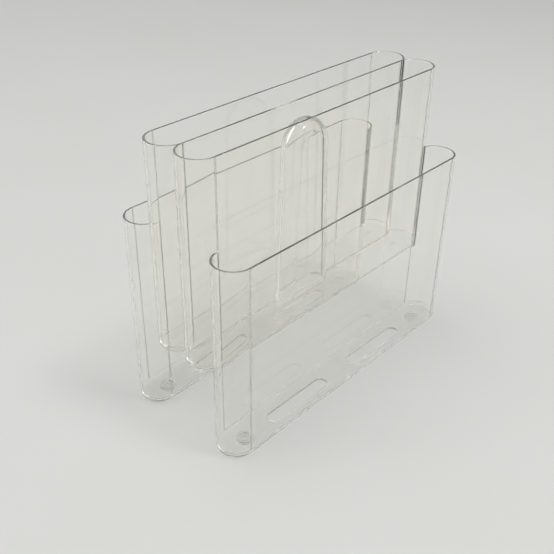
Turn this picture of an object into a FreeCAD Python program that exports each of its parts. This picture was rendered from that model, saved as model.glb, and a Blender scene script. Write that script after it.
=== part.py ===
import FreeCAD, Part

import math
import os

import Sketcher
from FreeCAD import Vector

# Clear plastic magazine rack: four parallel pockets with half-round ends. The two middle pockets are
# raised, so an open tunnel runs under them. Neighbouring pockets share one flat wall, and a hollow
# arched core stands in the centre wall. Flat sheets, half-round ends, floor trays and the core are
# separate pieces, with a hair's breadth of cement between them.
#
# Frame: +X runs along the pockets, the front is at -Y, +Z is up. The origin is at the middle of the
# footprint, on the surface that the rack stands on.

DIMENSIONS = [
    # alias, millimetres, what it is
    ("pocket_length", 400.0, "a pocket's length between the middles of its end walls"),
    ("pocket_pitch", 44.6, "distance between the middles of neighbouring flat walls"),
    ("wall", 2.5, "thickness of every sheet, end and core wall"),
    ("joint_gap", 0.05, "thickness of the cement between two pieces"),
    ("low_rim", 247.0, "height of the outer pockets' rims"),
    ("tall_rim", 348.5, "height of the middle pockets' rims"),
    ("tall_base", 101.6, "height of the middle pockets' undersides"),
    ("foot_height", 1.5, "thickness of a foot pad"),
    ("foot_radius", 9.5, "radius of a foot pad, and of the raised ring above it"),
    ("foot_edge", 0.5, "rounding of a foot pad's lower edge"),
    ("foot_spacing", 330.0, "distance between the feet of one pocket"),
    ("dimple_radius", 4.5, "radius of the hollow in the top of a foot pad"),
    ("dimple_depth", 0.8, "depth of that hollow"),
    ("ring_bore", 6.5, "inner radius of the raised ring on the floor above a foot"),
    ("ring_height", 1.2, "height of that ring above the floor"),
    ("mark_radius", 3.5, "radius of the round mould marks in the middle pockets' floors"),
    ("mark_depth", 0.6, "depth of those marks"),
    ("tray_height", 7.0, "height of a floor tray, up to the joint with the walls"),
    ("tray_edge", 5.5, "rounding of a floor tray's lower outer edge"),
    ("floor_thickness", 2.5, "thickness of a pocket's floor"),
    ("floor_fillet", 3.0, "rounding inside a floor tray, where the floor meets the walls"),
    ("rim_round", 0.8, "rounding of the rims' edges"),
    ("slot_length", 102.0, "overall length of a slot in an outer pocket's floor"),
    ("slot_width", 17.0, "width of such a slot"),
    ("slot_spacing", 150.0, "distance between the middles of one floor's slots"),
    ("core_depth", 29.0, "thickness of the arched core, front to rear"),
    ("core_half_base", 41.0, "half of the core's length at the underside"),
    ("core_half_top", 33.0, "half of the core's length where its arch begins, and the arch's radius"),
    ("core_arch_centre", 292.0, "height of the arch's centre"),
    ("core_round", 13.5, "rounding of the core's outer edges"),
]

LEFT, RIGHT = -1, 1
CLEAR = 10.0  # how far a cutting box reaches past what it cuts
NEAR = 0.01  # two measures this close are the same
HALF_TURN = 180

# Sizes that several sub-parts share, as expressions of the sheet's cells.
END_RADIUS = "Dimensions.pocket_pitch / 2"
OUTER_RADIUS = "(Dimensions.pocket_pitch + Dimensions.wall) / 2"
INNER_RADIUS = "(Dimensions.pocket_pitch - Dimensions.wall) / 2"
HALF_FLAT = "(Dimensions.pocket_length - Dimensions.pocket_pitch) / 2"
SHEET_HALF = f"({HALF_FLAT} - Dimensions.joint_gap)"
LOW_RIM = "Dimensions.low_rim"
TALL_RIM = "Dimensions.tall_rim"
LOW_JOINT = "(Dimensions.foot_height + Dimensions.tray_height + Dimensions.joint_gap)"
TALL_JOINT = "(Dimensions.tall_base + Dimensions.tray_height + Dimensions.joint_gap)"
SHARE = f"({END_RADIUS} - Dimensions.joint_gap / 2)"

doc = FreeCAD.newDocument("magazine_rack")
sheet = doc.addObject("Spreadsheet::Sheet", "Dimensions")
for row, (alias, value, meaning) in enumerate(DIMENSIONS, start=1):
    sheet.set(f"A{row}", meaning)
    sheet.set(f"B{row}", str(value))
    sheet.setAlias(f"B{row}", alias)
doc.recompute()

sub_parts = []


def size(expression):
    """The value of an expression of the sheet's cells, in millimetres."""
    return float(sheet.evalExpression(expression.replace("Dimensions.", "")))


def bind(item, **expressions):
    """Binds an object's properties to expressions; Placement_Base_x stands for Placement.Base.x."""
    for name, expression in expressions.items():
        item.setExpression(name.replace("_", "."), expression)


def new_body(label):
    body = doc.addObject("PartDesign::Body", label)
    body.Label = label
    return body


def origin_plane(body, role):
    return next(plane for plane in body.Origin.OriginFeatures if plane.Role == role)


def new_sketch(body, name, role="XY_Plane", height="0"):
    """An empty sketch on one of the body's own planes, moved along the plane's normal by height."""
    sketch = body.newObject("Sketcher::SketchObject", name)
    sketch.AttachmentSupport = [(origin_plane(body, role), "")]
    sketch.MapMode = "FlatFace"
    sketch.setExpression("AttachmentOffset.Base.z", height)
    return sketch


def name_constraint(sketch, constraint, name, expression):
    """Adds a driving dimension to a sketch and binds it to the sheet."""
    index = sketch.addConstraint(constraint)
    sketch.renameConstraint(index, name)
    sketch.setExpression(f"Constraints.{name}", expression)


def draw_rectangle(sketch, half_width, low, high):
    """A rectangle that is centred on the sketch's vertical axis, from low to high."""
    right, bottom, top = size(half_width), size(low), size(high)
    corners = [Vector(-right, bottom, 0), Vector(right, bottom, 0)]
    corners += [Vector(right, top, 0), Vector(-right, top, 0)]
    for index in range(4):
        sketch.addGeometry(Part.LineSegment(corners[index], corners[(index + 1) % 4]), False)
    for index in range(4):
        sketch.addConstraint(Sketcher.Constraint("Coincident", index, 2, (index + 1) % 4, 1))
    for index in (1, 3):
        sketch.addConstraint(Sketcher.Constraint("Vertical", index))
    sketch.addConstraint(Sketcher.Constraint("Horizontal", 2))
    sketch.addConstraint(Sketcher.Constraint("Symmetric", 0, 1, 0, 2, -2))
    width = Sketcher.Constraint("DistanceX", 0, 1, 0, 2, 2 * right)
    name_constraint(sketch, width, "width", f"2 * ({half_width})")
    rise = Sketcher.Constraint("DistanceY", 1, 1, 1, 2, top - bottom)
    name_constraint(sketch, rise, "rise", f"{high} - ({low})")
    lift = Sketcher.Constraint("DistanceY", -1, 1, 0, 1, bottom)
    name_constraint(sketch, lift, "lift", low)


def draw_stadium(sketch, half_flat, radius, middle="0"):
    """A stadium along X: two straight sides and half-round ends, centred at (middle, 0)."""
    flat, reach, shift = size(half_flat), size(radius), size(middle)
    first = len(sketch.Geometry)
    up = Vector(0, 0, 1)
    quarter = math.pi / 2
    left_circle = Part.Circle(Vector(shift - flat, 0, 0), up, reach)
    right_circle = Part.Circle(Vector(shift + flat, 0, 0), up, reach)
    sketch.addGeometry(Part.ArcOfCircle(left_circle, quarter, 3 * quarter), False)
    sketch.addGeometry(Part.ArcOfCircle(right_circle, -quarter, quarter), False)
    for side in (-1, 1):
        start = Vector(shift - flat, side * reach, 0)
        sketch.addGeometry(Part.LineSegment(start, Vector(shift + flat, side * reach, 0)), False)
    left, right, low, high = first, first + 1, first + 2, first + 3
    # Tangent at the shared points: the sides then run along X and are as far apart as the arcs are wide.
    sketch.addConstraint(Sketcher.Constraint("Tangent", left, 1, high, 1))
    sketch.addConstraint(Sketcher.Constraint("Tangent", left, 2, low, 1))
    sketch.addConstraint(Sketcher.Constraint("Tangent", right, 1, low, 2))
    sketch.addConstraint(Sketcher.Constraint("Tangent", right, 2, high, 2))
    sketch.addConstraint(Sketcher.Constraint("Horizontal", low))
    sketch.addConstraint(Sketcher.Constraint("PointOnObject", left, 3, -1))
    sketch.addConstraint(Sketcher.Constraint("PointOnObject", right, 3, -1))
    label = f"stadium{first}"
    name_constraint(sketch, Sketcher.Constraint("Radius", left, reach), f"{label}_radius", radius)
    span = Sketcher.Constraint("DistanceX", left, 3, right, 3, 2 * flat)
    name_constraint(sketch, span, f"{label}_span", f"2 * ({half_flat})")
    start = Sketcher.Constraint("DistanceX", left, 3, -1, 1, flat - shift)
    name_constraint(sketch, start, f"{label}_start", f"{half_flat} - ({middle})")


def draw_circles(sketch, radii):
    """Concentric circles above each of an outer pocket's two feet."""
    reach = size("Dimensions.foot_spacing / 2")
    for side in (LEFT, RIGHT):
        for radius in radii:
            first = len(sketch.Geometry)
            circle = Part.Circle(Vector(side * reach, 0, 0), Vector(0, 0, 1), size(radius))
            sketch.addGeometry(circle, False)
            sketch.addConstraint(Sketcher.Constraint("PointOnObject", first, 3, -1))
            width = Sketcher.Constraint("Radius", first, size(radius))
            name_constraint(sketch, width, f"circle{first}_radius", radius)
            centre = Sketcher.Constraint("DistanceX", -1, 1, first, 3, side * reach)
            name_constraint(sketch, centre, f"circle{first}_centre", f"{side} * Dimensions.foot_spacing / 2")


def pad(body, sketch, name, length, symmetric=False):
    feature = body.newObject("PartDesign::Pad", name)
    feature.Profile = sketch
    feature.setExpression("Length", length)
    feature.SideType = "Symmetric" if symmetric else "One side"
    doc.recompute()
    return feature


def pocket(body, sketch, name, length):
    """Cuts a sketch's outline downwards from the sketch, and makes sure that it took something away."""
    before = body.Shape.Volume
    feature = body.newObject("PartDesign::Pocket", name)
    feature.Profile = sketch
    feature.setExpression("Length", length)
    doc.recompute()
    if body.Shape.Volume > before - NEAR:
        raise RuntimeError(f"{body.Label}: {name} cuts nothing")
    return feature


def cut_box(body, name, corner, extent):
    """Takes a box away from a body: its lowest corner and its extent are three expressions each."""
    before = body.Shape.Volume
    box = body.newObject("PartDesign::SubtractiveBox", name)
    for side, expression in zip(("Length", "Width", "Height"), extent):
        box.setExpression(side, expression)
    for axis, expression in zip("xyz", corner):
        box.setExpression(f"Placement.Base.{axis}", expression)
    doc.recompute()
    if body.Shape.Volume > before - NEAR:
        raise RuntimeError(f"{body.Label}: {name} cuts nothing")


def round_edges(body, name, radius, chosen):
    """Rounds the edges of a body that the test called chosen accepts."""
    base = body.Tip
    names = [f"Edge{index}" for index, edge in enumerate(base.Shape.Edges, start=1) if chosen(edge)]
    if not names:
        raise RuntimeError(f"{body.Label}: {name} finds no edge")
    feature = body.newObject("PartDesign::Fillet", name)
    feature.Base = (base, names)
    feature.setExpression("Radius", radius)
    doc.recompute()


def level(edge, height):
    """True if an edge lies flat at this height."""
    box = edge.BoundBox
    return abs(box.ZMin - height) < NEAR and abs(box.ZMax - height) < NEAR


def along_x(edge):
    box = edge.BoundBox
    return box.XLength > NEAR and box.YLength < NEAR and box.ZLength < NEAR


def is_arc(edge):
    return isinstance(edge.Curve, Part.Circle)


def place(item, x="0", y="0", z="0"):
    bind(item, Placement_Base_x=x, Placement_Base_y=y, Placement_Base_z=z)


def cut_from(label, base, tool):
    """A sub-part that is one object minus another one."""
    cut = doc.addObject("Part::Cut", label)
    cut.Label = label
    cut.Base = base
    cut.Tool = tool
    return cut


def flat_sheet(label, row, low, high):
    """A flat wall; row counts pocket widths from the centre wall, towards the rear."""
    body = new_body(label)
    outline = new_sketch(body, f"{label}_outline", "XZ_Plane")
    draw_rectangle(outline, SHEET_HALF, low, high)
    pad(body, outline, f"{label}_pad", "Dimensions.wall", symmetric=True)
    rim = size(high)

    def on_rim(edge):
        return along_x(edge) and level(edge, rim)

    round_edges(body, f"{label}_rim", "Dimensions.rim_round", on_rim)
    place(body, y=f"{row} * Dimensions.pocket_pitch")
    return body


def end_shell(label, side, row, low, high, shared):
    """A half-round end of a pocket whose middle is row pocket widths behind the centre wall.

    shared holds, for each neighbour, the side it is on (-1 front, 1 rear) and the heights from and to
    which it is there. Over those heights the shell ends near the middle of the shared wall.
    """
    body = new_body(label)
    start = "90 deg" if side == LEFT else "-90 deg"
    for kind, radius in (("Additive", OUTER_RADIUS), ("Subtractive", INNER_RADIUS)):
        cylinder = body.newObject(f"PartDesign::{kind}Cylinder", f"{label}_{kind.lower()}")
        cylinder.Angle = HALF_TURN
        cylinder.setExpression("Radius", radius)
        cylinder.setExpression("Height", f"{high} - ({low})")
        cylinder.setExpression("Placement.Rotation.Angle", start)
        doc.recompute()
    beyond = f"(Dimensions.wall + {CLEAR})"
    near_x = f"-{beyond}" if side == LEFT else "0"
    for number, (facing, floor, ceiling) in enumerate(shared):
        near_y = SHARE if facing > 0 else f"-{SHARE} - {beyond}"
        corner = (near_x, near_y, f"{floor} - {low}")
        cut_box(body, f"{label}_share{number}", corner, (beyond, beyond, f"{ceiling} - ({floor})"))
    rim = size(f"{high} - ({low})")

    def on_rim(edge):
        return is_arc(edge) and level(edge, rim)

    round_edges(body, f"{label}_rim", "Dimensions.rim_round", on_rim)
    place(body, f"{side} * ({HALF_FLAT})", f"{row} * Dimensions.pocket_pitch", low)
    return body


def tray(label):
    """A shallow stadium tray with a rounded lower edge: a pocket's floor before it is cut to fit."""
    body = new_body(label)
    outline = new_sketch(body, f"{label}_outline")
    draw_stadium(outline, HALF_FLAT, OUTER_RADIUS)
    pad(body, outline, f"{label}_pad", "Dimensions.tray_height")
    round_edges(body, f"{label}_lower_edge", "Dimensions.tray_edge", lambda edge: level(edge, 0))
    inside = new_sketch(body, f"{label}_inside", height="Dimensions.tray_height")
    draw_stadium(inside, HALF_FLAT, INNER_RADIUS)
    pocket(body, inside, f"{label}_hollow", "Dimensions.tray_height - Dimensions.floor_thickness")
    return body


def low_floor(label, row):
    """An outer pocket's floor, with two pill-shaped slots."""
    body = tray(label)
    floor = size("Dimensions.floor_thickness")
    round_edges(body, f"{label}_corner", "Dimensions.floor_fillet", lambda edge: level(edge, floor))
    rings = new_sketch(body, f"{label}_rings", height="Dimensions.floor_thickness")
    draw_circles(rings, ("Dimensions.foot_radius", "Dimensions.ring_bore"))
    pad(body, rings, f"{label}_ring_pad", "Dimensions.ring_height")
    slots = new_sketch(body, f"{label}_slots", height="Dimensions.floor_thickness")
    half_flat = "(Dimensions.slot_length - Dimensions.slot_width) / 2"
    for side in (LEFT, RIGHT):
        middle = f"{side} * Dimensions.slot_spacing / 2"
        draw_stadium(slots, half_flat, "Dimensions.slot_width / 2", middle)
    pocket(body, slots, f"{label}_slot_cut", "Dimensions.floor_thickness")
    place(body, y=f"{row} * Dimensions.pocket_pitch", z="Dimensions.foot_height")
    return body


def tall_floor(label, row, core_block):
    """A middle pocket's floor: it fits between two flat walls, and is cut out around the core."""
    body = tray(f"{label}_tray")
    marks = new_sketch(body, f"{label}_marks", height="Dimensions.floor_thickness")
    draw_circles(marks, ("Dimensions.mark_radius",))
    pocket(body, marks, f"{label}_mark_cut", "Dimensions.mark_depth")
    beyond = f"(Dimensions.wall + {CLEAR})"
    clear_of_wall = f"({INNER_RADIUS} - Dimensions.joint_gap)"
    whole_half = "Dimensions.pocket_length / 2"
    for cut, half, reach in (("wall", HALF_FLAT, clear_of_wall), ("ends", whole_half, SHARE)):
        extent = (f"2 * ({half})", beyond, "Dimensions.tray_height")
        cut_box(body, f"{label}_front_{cut}", (f"-({half})", f"-{reach} - {beyond}", "0"), extent)
        cut_box(body, f"{label}_rear_{cut}", (f"-({half})", reach, "0"), extent)
    place(body, y=f"{row} * Dimensions.pocket_pitch", z="Dimensions.tall_base")
    return cut_from(label, body, core_block)


def arch_block(label, inset, edge_round):
    """The solid outer or inner form of the core: an upright arch with rounded front and rear edges."""
    body = new_body(label)
    outline = new_sketch(body, f"{label}_outline", "XZ_Plane")
    base = size(f"Dimensions.core_half_base - ({inset})")
    radius = size(f"Dimensions.core_half_top - ({inset})")
    centre, bottom = size("Dimensions.core_arch_centre"), size("Dimensions.tall_base")
    # The arch is tangent to its leaning sides, so it starts a little above the height of its centre.
    lean = math.asin((base - radius) / math.hypot(base, centre - bottom))
    circle = Part.Circle(Vector(0, centre, 0), Vector(0, 0, 1), radius)
    outline.addGeometry(Part.ArcOfCircle(circle, lean, math.pi - lean), False)
    shoulder = Vector(radius * math.cos(lean), centre + radius * math.sin(lean), 0)
    foot = Vector(base, bottom, 0)
    outline.addGeometry(Part.LineSegment(foot, shoulder), False)
    outline.addGeometry(Part.LineSegment(Vector(-base, bottom, 0), Vector(-shoulder.x, shoulder.y, 0)), False)
    outline.addGeometry(Part.LineSegment(Vector(-base, bottom, 0), foot), False)
    arch, right, left, under = 0, 1, 2, 3
    outline.addConstraint(Sketcher.Constraint("Tangent", arch, 1, right, 2))
    outline.addConstraint(Sketcher.Constraint("Tangent", arch, 2, left, 2))
    outline.addConstraint(Sketcher.Constraint("Coincident", right, 1, under, 2))
    outline.addConstraint(Sketcher.Constraint("Coincident", left, 1, under, 1))
    outline.addConstraint(Sketcher.Constraint("Symmetric", under, 1, under, 2, -2))
    outline.addConstraint(Sketcher.Constraint("PointOnObject", arch, 3, -2))
    curve = Sketcher.Constraint("Radius", arch, radius)
    name_constraint(outline, curve, "arch_radius", f"Dimensions.core_half_top - ({inset})")
    width = Sketcher.Constraint("DistanceX", under, 1, under, 2, 2 * base)
    name_constraint(outline, width, "base_width", f"2 * (Dimensions.core_half_base - ({inset}))")
    rise = Sketcher.Constraint("DistanceY", -1, 1, arch, 3, centre)
    name_constraint(outline, rise, "arch_height", "Dimensions.core_arch_centre")
    lift = Sketcher.Constraint("DistanceY", -1, 1, under, 1, bottom)
    name_constraint(outline, lift, "lift", "Dimensions.tall_base")
    pad(body, outline, f"{label}_pad", f"Dimensions.core_depth - 2 * ({inset})", symmetric=True)
    face = size(f"Dimensions.core_depth / 2 - ({inset})")

    def on_face(edge):
        box = edge.BoundBox
        return box.YLength < NEAR and abs(abs(box.YMin) - face) < NEAR and not level(edge, bottom)

    round_edges(body, f"{label}_round", edge_round, on_face)
    return body


def foot(label, side, row):
    """A round pad with a shallow hollow in its top and a rounded lower edge."""
    disc = doc.addObject("Part::Cylinder", f"{label}_disc")
    bind(disc, Radius="Dimensions.foot_radius", Height="Dimensions.foot_height - Dimensions.joint_gap")
    hollow = doc.addObject("Part::Cylinder", f"{label}_hollow")
    bind(hollow, Radius="Dimensions.dimple_radius", Height="Dimensions.dimple_depth")
    lift = "Dimensions.foot_height - Dimensions.joint_gap - Dimensions.dimple_depth"
    for item, height in ((disc, "0"), (hollow, lift)):
        place(item, f"{side} * Dimensions.foot_spacing / 2", f"{row} * Dimensions.pocket_pitch", height)
    blank = cut_from(f"{label}_blank", disc, hollow)
    doc.recompute()
    pad_foot = doc.addObject("Part::Fillet", label)
    pad_foot.Label = label
    pad_foot.Base = blank
    lower = next(index for index, edge in enumerate(blank.Shape.Edges, start=1) if level(edge, 0))
    edge_round = size("Dimensions.foot_edge")
    pad_foot.Edges = [(lower, edge_round, edge_round)]
    return pad_foot


# The core, and the opening for it that is cut in the centre divider and the middle floors.
core_outer = arch_block("core_outer", "0", "Dimensions.core_round")
core_inner = arch_block("core_inner", "Dimensions.wall", "Dimensions.core_round - Dimensions.wall")
core_opening = arch_block(
    "core_opening", "-Dimensions.joint_gap", "Dimensions.core_round + Dimensions.joint_gap"
)
sub_parts.append(cut_from("centre_core", core_outer, core_inner))

# The flat walls, from front to rear.
sub_parts.append(flat_sheet("front_wall", -2, LOW_JOINT, LOW_RIM))
sub_parts.append(flat_sheet("front_divider", -1, LOW_JOINT, TALL_RIM))
centre_sheet = flat_sheet("centre_sheet", 0, "Dimensions.tall_base", TALL_RIM)
sub_parts.append(cut_from("centre_divider", centre_sheet, core_opening))
sub_parts.append(flat_sheet("rear_divider", 1, LOW_JOINT, TALL_RIM))
sub_parts.append(flat_sheet("rear_wall", 2, LOW_JOINT, LOW_RIM))

# The pockets' ends and floors, and the feet under the outer pockets.
for front_or_rear, facing in (("front", -1), ("rear", 1)):
    low_row, tall_row = 1.5 * facing, 0.5 * facing
    low_shared = [(-facing, "Dimensions.tall_base", LOW_RIM)]
    tall_shared = [(facing, TALL_JOINT, f"{LOW_RIM} + Dimensions.joint_gap"), (-facing, TALL_JOINT, TALL_RIM)]
    for left_or_right, side in (("left", LEFT), ("right", RIGHT)):
        low_name = f"low_{front_or_rear}_{left_or_right}_end"
        tall_name = f"tall_{front_or_rear}_{left_or_right}_end"
        sub_parts.append(end_shell(low_name, side, low_row, LOW_JOINT, LOW_RIM, low_shared))
        sub_parts.append(end_shell(tall_name, side, tall_row, TALL_JOINT, TALL_RIM, tall_shared))
        sub_parts.append(foot(f"{front_or_rear}_{left_or_right}_foot", side, low_row))
    sub_parts.append(low_floor(f"low_{front_or_rear}_floor", low_row))
    sub_parts.append(tall_floor(f"tall_{front_or_rear}_floor", tall_row, core_opening))

doc.recompute()
for item in doc.Objects:
    if "Invalid" in item.State or "Error" in item.State:
        raise RuntimeError(f"{item.Label} did not compute: {item.State}")
for item in sub_parts:
    if item.Shape.isNull() or not item.Shape.isValid() or len(item.Shape.Solids) != 1:
        raise RuntimeError(f"{item.Label} is not one valid solid")

os.makedirs("parts", exist_ok=True)
for item in sub_parts:
    item.Shape.exportStep(f"parts/{item.Label}.step")
    print(f"{item.Label}: {item.Shape.Volume / 1000:.2f} cm3")
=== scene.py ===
import math

import bpy
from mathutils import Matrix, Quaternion, Vector


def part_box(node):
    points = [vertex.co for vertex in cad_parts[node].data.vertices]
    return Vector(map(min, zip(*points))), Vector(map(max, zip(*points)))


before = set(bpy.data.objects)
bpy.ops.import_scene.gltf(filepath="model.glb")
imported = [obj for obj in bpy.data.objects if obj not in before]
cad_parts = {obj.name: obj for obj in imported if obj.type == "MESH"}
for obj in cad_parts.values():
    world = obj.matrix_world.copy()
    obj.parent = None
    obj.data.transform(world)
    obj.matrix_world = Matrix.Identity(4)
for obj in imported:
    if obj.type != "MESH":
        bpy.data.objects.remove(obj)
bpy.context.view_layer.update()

# The camera: where it looks, from which side, how far away, how far it is tilted and with which lens.
AIM = Vector((0.0144, 0.0502, 0.0861))
CAMERA_SIDE = math.radians(-47.72)
CAMERA_RISE = math.radians(32.69)
CAMERA_DISTANCE = 1.0459
CAMERA_ROLL = 0.0163
LENS_MM = 51.79
SENSOR_MM = 36.0
NEAREST_SEEN = 0.01

# Each kind of clear plastic: its colour, the painted shade along its outlines, how much it absorbs for each
# metre, how rough its haze gets, and the share of a lamp's light that each face lets through.
PLASTIC = {
    "tint": (0.994, 0.993, 0.981, 1.0),
    "painted_outline_shade": (0.55, 0.55, 0.54, 1.0),
    "density": 2.2,
    "haze": 0.03,
    "lamp_share": 0.985,
}
SOFT_PAD = {
    "tint": (0.97, 0.97, 0.95, 1.0),
    "painted_outline_shade": (0.75, 0.75, 0.74, 1.0),
    "density": 3.0,
    "haze": 0.2,
    "lamp_share": 0.96,
}
PLASTIC_IOR = 1.49
DEPTH_COLOUR = (0.35, 0.35, 0.27, 1.0)

# Slant is 0 for a face seen straight on and 1 for one seen edge on. The painted outline shade begins at
# OUTLINE_FROM, and lamp_share falls by LOST_AT_SLANT over SLANT_RANGE.
OUTLINE_FROM = 0.62
SLANT_RANGE = (0.3, 0.9)
LOST_AT_SLANT = 0.05

# Moulding waves and haze streaks. All are noise, drawn out upright: scale for each metre, and detail.
UPRIGHT_STRETCH = (1.0, 1.0, 0.015)
WAVES = (100.0, 0.0)
SMEARS = (60.0, 6.0)
RUBBING = (1500.0, 2.0)
STREAK_RANGE = (0.25, 0.45)  # the product of smears and rubbing that haze begins at, and is full at
WAVE_STRENGTH = 0.1
WAVE_HEIGHT = 0.0003

# The cement where the flat walls meet the half-round ends.
JOINT_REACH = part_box("front_wall")[1][0]
CEMENT_HALF_WIDTH = 0.0007
CEMENT_COLOUR = (0.55, 0.55, 0.53, 1.0)

# The studio background, which is brighter on one side, for glints in the plastic.
HORIZON_COLOUR = (0.85, 0.85, 0.83, 1.0)
OVERHEAD_COLOUR = (1.0, 1.0, 0.98, 1.0)
OVERHEAD_FROM = 0.7
BRIGHT_SIDE = Vector((-0.45, 0.75, 0.48))
BRIGHT_RANGE = (0.84, 0.96)  # the brightness grows between these dot products with BRIGHT_SIDE
PLAIN_STRENGTH = 0.48
BRIGHT_STRENGTH = 2.3

# The lamps: name, place, size, power in watts, and whether the plastic shows it in glints.
LAMPS = (
    ("ceiling", (-0.8, 2.5, 5.0), (5.0, 5.0), 178.0, False),
    ("key", (0.7, -1.8, 4.0), (0.9, 0.9), 114.0, True),
    ("window", (-1.3, 0.9, 1.6), (0.5, 0.9), 2.0, True),
)

# The floor. It lies a little below the feet, so that their faces don't coincide.
FLOOR_HALF_SIDE = 4.0
FLOOR_DROP = 0.0001
FLOOR_DARK = (0.70, 0.705, 0.675, 1.0)
FLOOR_LIGHT = (0.74, 0.745, 0.72, 1.0)
FLOOR_PATCHES = (3.0, 3.0)
FLOOR_ROUGHNESS = 0.6

# Walls seen through walls: a ray crosses many faces before it meets the floor.
MOST_BOUNCES = 96
MOST_FACES_TO_LAMP = 64


# ---------------------------------------------------------------- nodes

def new_material(name):
    """An empty node material, its node tree and its output node."""
    material = bpy.data.materials.new(name)
    material.use_nodes = True
    tree = material.node_tree
    tree.nodes.clear()
    return material, tree, tree.nodes.new("ShaderNodeOutputMaterial")


def add(tree, kind, inputs=None, **settings):
    """A node of this kind, with its settings, and its inputs set or linked."""
    node = tree.nodes.new(kind)
    for name, value in settings.items():
        setattr(node, name, value)
    for name, value in (inputs or {}).items():
        if isinstance(value, bpy.types.NodeSocket):
            tree.links.new(value, node.inputs[name])
        else:
            node.inputs[name].default_value = value
    return node


def stretch(tree, value, low, high, to_low, to_high):
    """value between low and high, mapped to between to_low and to_high and held there."""
    names = ("Value", "From Min", "From Max", "To Min", "To Max")
    node = add(tree, "ShaderNodeMapRange", dict(zip(names, (value, low, high, to_low, to_high))))
    return node.outputs["Result"]


def noise(tree, place, scale, detail):
    node = add(tree, "ShaderNodeTexNoise", {"Vector": place, "Scale": scale, "Detail": detail})
    return node.outputs["Fac"]


def calculate(tree, operation, *values, **settings):
    """The result of a Math node on these numbers or sockets."""
    node = add(tree, "ShaderNodeMath", dict(enumerate(values)), operation=operation, **settings)
    return node.outputs["Value"]


def mix_colours(tree, share, first, second):
    """The first colour, which turns into the second as share goes from 0 to 1."""
    node = add(tree, "ShaderNodeMix", {"Factor": share, "A": first, "B": second}, data_type="RGBA")
    return node.outputs["Result"]


# ---------------------------------------------------------------- materials

def paint_outline_shade(tree, slant, tint, painted_outline_shade):
    """The tint, turning into the painted outline shade where a ray meets the plastic's outside at a slant.
    """
    from_inside = add(tree, "ShaderNodeNewGeometry").outputs["Backfacing"]
    # Painted shade: the colour darkens towards the outline colour where the surface is seen at a slant,
    # standing in for light lost along the outlines.
    share = stretch(tree, slant, OUTLINE_FROM, 1.0, 0.0, 1.0)
    share = calculate(tree, "SUBTRACT", share, from_inside, use_clamp=True)
    return mix_colours(tree, share, tint, painted_outline_shade)


def cemented(tree, place, colour):
    """The colour, with a line of cement at each upright joint."""
    along = add(tree, "ShaderNodeSeparateXYZ", {"Vector": place}).outputs["X"]
    reach = calculate(tree, "ABSOLUTE", along)
    at_joint = calculate(tree, "COMPARE", reach, JOINT_REACH, CEMENT_HALF_WIDTH)
    return mix_colours(tree, at_joint, colour, CEMENT_COLOUR)


def clear_plastic(name, tint, painted_outline_shade, density, haze, lamp_share, has_joints=False):
    """Clear plastic with moulding waves and a little haze, with painted shade along its outlines, and greyer
    through its length.

    Lamps shine through it and lose a little at each face, so that it casts a faint shadow.
    """
    material, tree, output = new_material(name)
    place = add(tree, "ShaderNodeTexCoord").outputs["Object"]
    upright = add(tree, "ShaderNodeMapping", {"Vector": place, "Scale": UPRIGHT_STRETCH}).outputs["Vector"]
    slant = add(tree, "ShaderNodeLayerWeight", {"Blend": 0.5}).outputs["Facing"]
    colour = paint_outline_shade(tree, slant, tint, painted_outline_shade)
    if has_joints:
        colour = cemented(tree, place, colour)
    streaks = calculate(tree, "MULTIPLY", noise(tree, upright, *SMEARS), noise(tree, upright, *RUBBING))
    waves = add(tree, "ShaderNodeBump", {
        "Height": noise(tree, upright, *WAVES), "Strength": WAVE_STRENGTH, "Distance": WAVE_HEIGHT,
    })
    glass = add(tree, "ShaderNodeBsdfPrincipled", {
        "Base Color": colour, "Roughness": stretch(tree, streaks, *STREAK_RANGE, 0.0, haze),
        "IOR": PLASTIC_IOR, "Transmission Weight": 1.0, "Normal": waves.outputs["Normal"],
    })
    let_through = stretch(tree, slant, *SLANT_RANGE, lamp_share, lamp_share - LOST_AT_SLANT)
    passing = add(tree, "ShaderNodeBsdfTransparent", {"Color": let_through})
    to_lamp = add(tree, "ShaderNodeLightPath").outputs["Is Shadow Ray"]
    surface = add(tree, "ShaderNodeMixShader", {
        "Fac": to_lamp, 1: glass.outputs["BSDF"], 2: passing.outputs["BSDF"],
    })
    tree.links.new(surface.outputs["Shader"], output.inputs["Surface"])
    depth = add(tree, "ShaderNodeVolumeAbsorption", {"Color": DEPTH_COLOUR, "Density": density})
    tree.links.new(depth.outputs["Volume"], output.inputs["Volume"])
    return material


def floor_paint():
    """Pale studio floor, nearly white, with soft patches."""
    material, tree, output = new_material("studio_floor")
    place = add(tree, "ShaderNodeTexCoord").outputs["Object"]
    tone = mix_colours(tree, noise(tree, place, *FLOOR_PATCHES), FLOOR_DARK, FLOOR_LIGHT)
    paint = add(tree, "ShaderNodeBsdfPrincipled", {"Base Color": tone, "Roughness": FLOOR_ROUGHNESS})
    tree.links.new(paint.outputs["BSDF"], output.inputs["Surface"])
    return material


# ---------------------------------------------------------------- camera, light and floor

def make_camera():
    camera = bpy.data.objects.new("camera", bpy.data.cameras.new("camera"))
    bpy.context.scene.collection.objects.link(camera)
    camera.data.lens = LENS_MM
    camera.data.sensor_width = SENSOR_MM
    camera.data.clip_start = NEAREST_SEEN
    level = math.cos(CAMERA_RISE)
    away = Vector((math.sin(CAMERA_SIDE) * level, -math.cos(CAMERA_SIDE) * level, math.sin(CAMERA_RISE)))
    camera.location = AIM + CAMERA_DISTANCE * away
    camera.rotation_mode = "QUATERNION"
    camera.rotation_quaternion = (-away).to_track_quat("-Z", "Y") @ Quaternion((0, 0, 1), CAMERA_ROLL)
    bpy.context.scene.camera = camera


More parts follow.
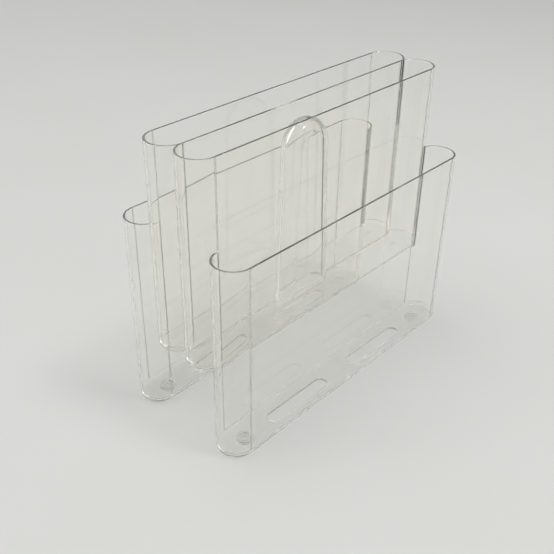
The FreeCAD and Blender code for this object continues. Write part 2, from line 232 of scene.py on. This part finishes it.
def make_world():
    world = bpy.data.worlds.new("studio")
    bpy.context.scene.world = world
    world.use_nodes = True
    world.cycles_visibility.diffuse = False
    tree = world.node_tree
    tree.nodes.clear()
    direction = add(tree, "ShaderNodeTexCoord").outputs["Generated"]
    height = add(tree, "ShaderNodeSeparateXYZ", {"Vector": direction}).outputs["Z"]
    glow = add(tree, "ShaderNodeValToRGB", {"Fac": height})
    horizon, overhead = glow.color_ramp.elements
    horizon.position = 0.0
    horizon.color = HORIZON_COLOUR
    overhead.position = OVERHEAD_FROM
    overhead.color = OVERHEAD_COLOUR
    towards = add(tree, "ShaderNodeVectorMath", {0: direction, 1: BRIGHT_SIDE}, operation="DOT_PRODUCT")
    # Where the camera sees the background itself, the subtraction leaves out the bright side.
    seen = add(tree, "ShaderNodeLightPath").outputs["Is Camera Ray"]
    bright = calculate(tree, "SUBTRACT", towards.outputs["Value"], seen)
    strength = stretch(tree, bright, *BRIGHT_RANGE, PLAIN_STRENGTH, BRIGHT_STRENGTH)
    sky = add(tree, "ShaderNodeBackground", {"Color": glow.outputs["Color"], "Strength": strength})
    output = add(tree, "ShaderNodeOutputWorld")
    tree.links.new(sky.outputs["Background"], output.inputs["Surface"])


def make_lamp(name, place, size, power, glints):
    lamp = bpy.data.lights.new(name, "AREA")
    lamp.shape = "RECTANGLE"
    lamp.size, lamp.size_y = size
    lamp.energy = power
    holder = bpy.data.objects.new(name, lamp)
    bpy.context.scene.collection.objects.link(holder)
    holder.location = place
    holder.rotation_mode = "QUATERNION"
    holder.rotation_quaternion = (AIM - Vector(place)).to_track_quat("-Z", "Y")
    holder.visible_glossy = glints
    holder.visible_transmission = glints


def make_floor():
    low, high = -FLOOR_HALF_SIDE, FLOOR_HALF_SIDE
    corners = [(x, y, -FLOOR_DROP) for x, y in ((low, low), (high, low), (high, high), (low, high))]
    mesh = bpy.data.meshes.new("floor")
    mesh.from_pydata(corners, [], [(0, 1, 2, 3)])
    floor = bpy.data.objects.new("floor", mesh)
    bpy.context.scene.collection.objects.link(floor)
    mesh.materials.append(floor_paint())


def allow_many_faces():
    """Lets rays cross the walls of all four pockets. Light focused by the plastic is left out."""
    cycles = bpy.context.scene.cycles
    cycles.max_bounces = MOST_BOUNCES
    cycles.transmission_bounces = MOST_BOUNCES
    cycles.glossy_bounces = MOST_BOUNCES
    cycles.transparent_max_bounces = MOST_FACES_TO_LAMP
    cycles.caustics_refractive = False
    cycles.caustics_reflective = False


bpy.context.scene.view_settings.view_transform = "Standard"
make_camera()
make_world()
for lamp in LAMPS:
    make_lamp(*lamp)
make_floor()
allow_many_faces()

plain_look = clear_plastic("clear_plastic_look", **PLASTIC)
cemented_look = clear_plastic("cemented_plastic_look", **PLASTIC, has_joints=True)
pad_look = clear_plastic("foot_pad_look", **SOFT_PAD)

for name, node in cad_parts.items():
    if name.endswith("_foot"):
        look = pad_look
    elif name.endswith(("_floor", "_core")):
        look = plain_look
    else:
        look = cemented_look
    node.material_slots[0].material = look
